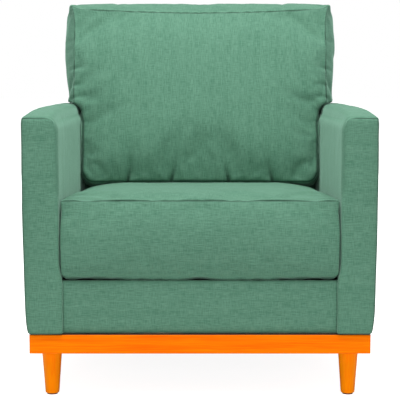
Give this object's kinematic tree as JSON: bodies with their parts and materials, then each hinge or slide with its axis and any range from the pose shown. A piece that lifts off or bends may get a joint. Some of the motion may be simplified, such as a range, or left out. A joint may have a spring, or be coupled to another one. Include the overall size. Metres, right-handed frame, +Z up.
{
  "type": "upholstered armchair",
  "caption": "Square-armed one-seat sofa with a loose seat cushion and a loose back cushion, on a wooden plinth with short turned tapered legs.",
  "frame": {"origin": "on the floor, at the middle of the footprint", "axes": "+Z up, -Y is the front that the sitter faces, +X is the right as seen from the front"},
  "size_m": [0.78, 0.78, 0.8953],
  "materials": {
    "upholstery": "matt woven chenille",
    "leg_wood": "satin orange stain",
    "plinth_wood": "satin orange stain",
    "frame_wood": "sawn pine",
    "hardboard": "pressed hardboard",
    "zinc_steel": "zinc plated",
    "glide_plastic": "matt black",
    "lining_cloth": "spunbonded cloth",
    "webbing": "woven elastic webbing",
    "foam": "open-cell foam",
    "fibre": "polyester fibre wrap"
  },
  "bodies": {
    "frame": {"leg_front_left": "leg_wood", "leg_front_right": "leg_wood", "leg_back_left": "leg_wood", "leg_back_right": "leg_wood", "plinth_rail_front": "plinth_wood", "plinth_rail_back": "plinth_wood", "plinth_rail_left": "plinth_wood", "plinth_rail_right": "plinth_wood", "corner_block_front_left": "frame_wood", "corner_block_front_right": "frame_wood", "corner_block_back_left": "frame_wood", "corner_block_back_right": "frame_wood", "leg_plate_front_left": "zinc_steel", "leg_plate_front_right": "zinc_steel", "leg_plate_back_left": "zinc_steel", "leg_plate_back_right": "zinc_steel", "leg_bolts": "zinc_steel", "leg_plate_screws": "zinc_steel", "plinth_to_frame_screws": "zinc_steel", "frame_bolts": "zinc_steel", "foot_glides": "glide_plastic", "plinth_dowels": "frame_wood", "dust_cover": "lining_cloth", "seat_rail_front": "frame_wood", "seat_rail_back": "frame_wood", "seat_rail_left": "frame_wood", "seat_rail_right": "frame_wood", "seat_webbing_lengthwise": "webbing", "seat_webbing_crosswise": "webbing", "seat_deck_cloth": "lining_cloth", "apron_cover": "upholstery", "apron_foam": "foam", "arm_cover_left": "upholstery", "arm_foam_left": "foam", "arm_panels_left": "hardboard", "arm_front_post_left": "frame_wood", "arm_back_post_left": "frame_wood", "arm_top_rail_left": "frame_wood", "arm_bottom_rail_left": "frame_wood", "back_side_left": "frame_wood", "arm_cover_right": "upholstery", "arm_foam_right": "foam", "arm_panels_right": "hardboard", "arm_front_post_right": "frame_wood", "arm_back_post_right": "frame_wood", "arm_top_rail_right": "frame_wood", "arm_bottom_rail_right": "frame_wood", "back_side_right": "frame_wood", "back_cover": "upholstery", "back_foam": "foam", "back_rail_top": "frame_wood", "back_rail_lumbar": "frame_wood", "back_rail_bottom": "frame_wood", "back_webbing": "webbing"},
    "seat_cushion": {"seat_cushion_cover": "upholstery", "seat_cushion_fibre_wrap": "fibre", "seat_cushion_core": "foam"},
    "back_cushion": {"back_cushion_cover": "upholstery", "back_cushion_fibre_wrap": "fibre", "back_cushion_core": "foam"}
  },
  "joints": [
    {"name": "seat_cushion_pull", "type": "slide", "parent": "frame", "child": "seat_cushion", "axis": [0, -0.9986, 0.0523], "range_m": [0, 0.64]},
    {"name": "back_cushion_lift", "type": "slide", "parent": "frame", "child": "back_cushion", "axis": [0, 0.2079, 0.9781], "range_m": [0, 0.4]}
  ]
}
